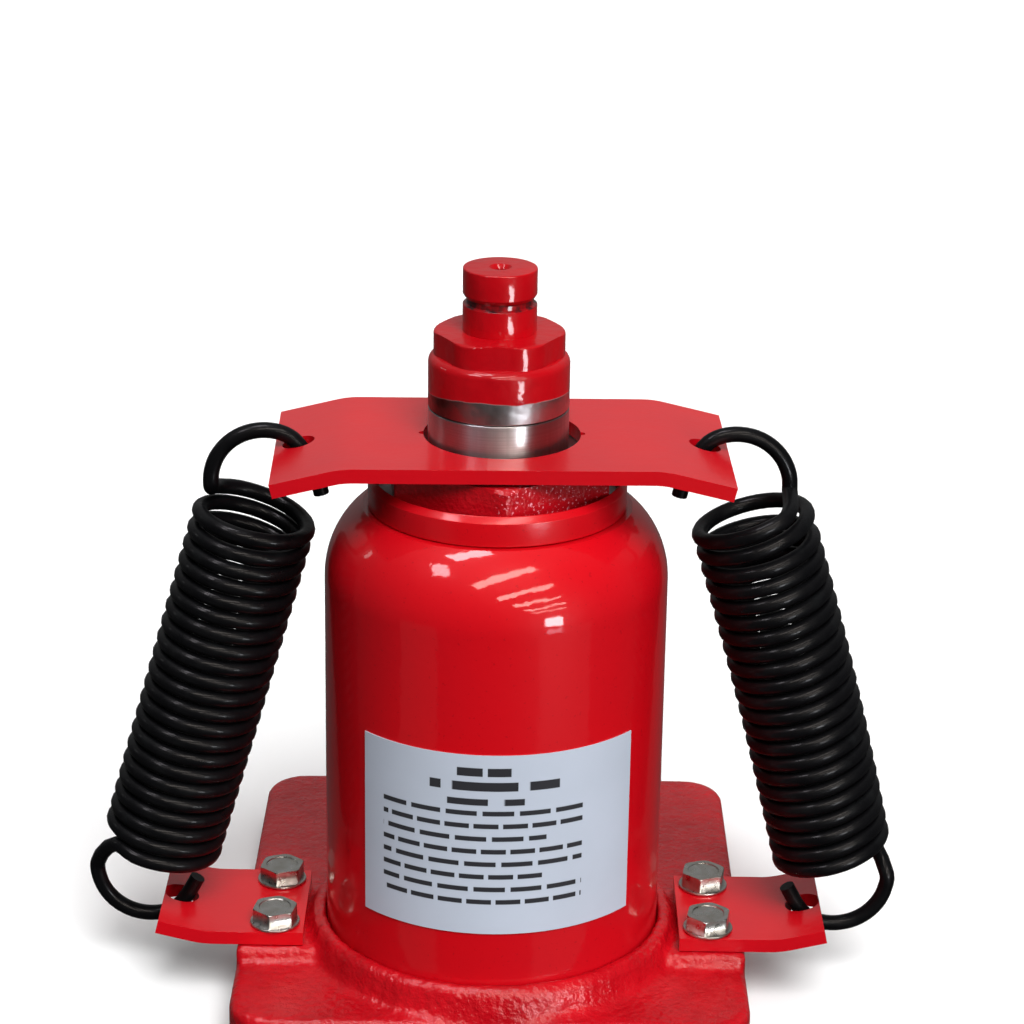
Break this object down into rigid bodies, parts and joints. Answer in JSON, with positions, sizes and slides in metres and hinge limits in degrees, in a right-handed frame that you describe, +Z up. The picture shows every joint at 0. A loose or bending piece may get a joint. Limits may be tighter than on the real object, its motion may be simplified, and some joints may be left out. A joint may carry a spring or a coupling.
{
  "type": "bottle jack",
  "caption": "Hydraulic bottle jack with a grooved stud on its ram, a return plate around the ram and two extension springs down to brackets on its base.",
  "frame": {"origin": "centre of the base casting's underside, on the jack's axis", "axes": "+Z up along the ram, +X to the right across the two springs, +Y to the rear, where the pump is"},
  "size_m": [0.2619, 0.236, 0.242],
  "materials": {
    "red_paint": "glossy red enamel",
    "cast_red": "red enamel over cast surface",
    "bright_steel": "turned bright steel",
    "dark_steel": "dark machined steel",
    "zinc": "zinc plated steel",
    "black_spring": "black satin spring steel",
    "rubber": "matte black rubber",
    "urethane": "blue polyurethane seal",
    "copper": "soft copper washer",
    "label": "printed film label"
  },
  "bodies": {
    "root": {"base_casting": "cast_red", "left_spring_bracket": "red_paint", "left_front_bracket_bolt": "zinc", "left_rear_bracket_bolt": "zinc", "right_spring_bracket": "red_paint", "right_front_bracket_bolt": "zinc", "right_rear_bracket_bolt": "zinc", "delivery_ball": "bright_steel", "delivery_keeper": "dark_steel", "delivery_plug": "dark_steel", "suction_ball": "bright_steel", "suction_plug": "dark_steel", "cylinder": "bright_steel", "cylinder_gasket": "copper", "tank_shell": "red_paint", "tank_base_gasket": "rubber", "tank_lock_ring": "red_paint", "gland_nut": "cast_red", "rod_seal": "urethane", "wiper_seal": "rubber", "filler_plug": "rubber", "front_label": "label", "left_return_spring": "black_spring", "right_return_spring": "black_spring", "pump_cylinder": "dark_steel", "pump_washer": "copper", "link_base_pin": "zinc", "link_base_pin_clip": "zinc", "release_ball": "bright_steel"},
    "ram": {"ram": "bright_steel", "ram_piston": "dark_steel", "piston_cup": "urethane", "piston_nut": "dark_steel", "head_adapter": "red_paint", "return_plate": "red_paint"},
    "plunger": {"pump_plunger": "bright_steel", "plunger_seal": "rubber", "plunger_pin": "zinc", "plunger_pin_clip": "zinc"},
    "socket": {"handle_socket": "cast_red", "link_top_pin": "zinc", "link_top_pin_clip": "zinc"},
    "link": {"pump_link": "dark_steel"},
    "release_screw": {"release_spindle": "zinc", "release_o_ring": "rubber"}
  },
  "joints": [
    {"name": "ram_slide", "type": "slide", "parent": "root", "child": "ram", "axis": [0, 0, 1], "range_m": [0, 0.12], "stiffness_N_per_m": 8000, "springref_m": -0.02, "deforming": ["left_return_spring", "right_return_spring"]},
    {"name": "handle_swing", "type": "hinge", "parent": "plunger", "child": "socket", "pos_m": [0, 0.092, 0.09], "axis": [1, 0, 0], "range_deg": [0, 35]},
    {"name": "plunger_slide", "type": "slide", "parent": "root", "child": "plunger", "axis": [0, 0, 1], "range_m": [0, 0.0152]},
    {"name": "link_swing", "type": "hinge", "parent": "root", "child": "link", "pos_m": [0, 0.066, 0.034], "axis": [1, 0, 0], "range_deg": [-4.5, 0]},
    {"name": "release_turn", "type": "hinge", "parent": "root", "child": "release_screw", "pos_m": [0.026, 0.118, 0.011], "axis": [0, 1, 0], "range_deg": [0, 540]}
  ],
  "couplings": [
    {"joint": "plunger_slide", "follows": "handle_swing", "m_per_rad": 0.0246},
    {"joint": "link_swing", "follows": "handle_swing", "ratio": -0.1152}
  ]
}
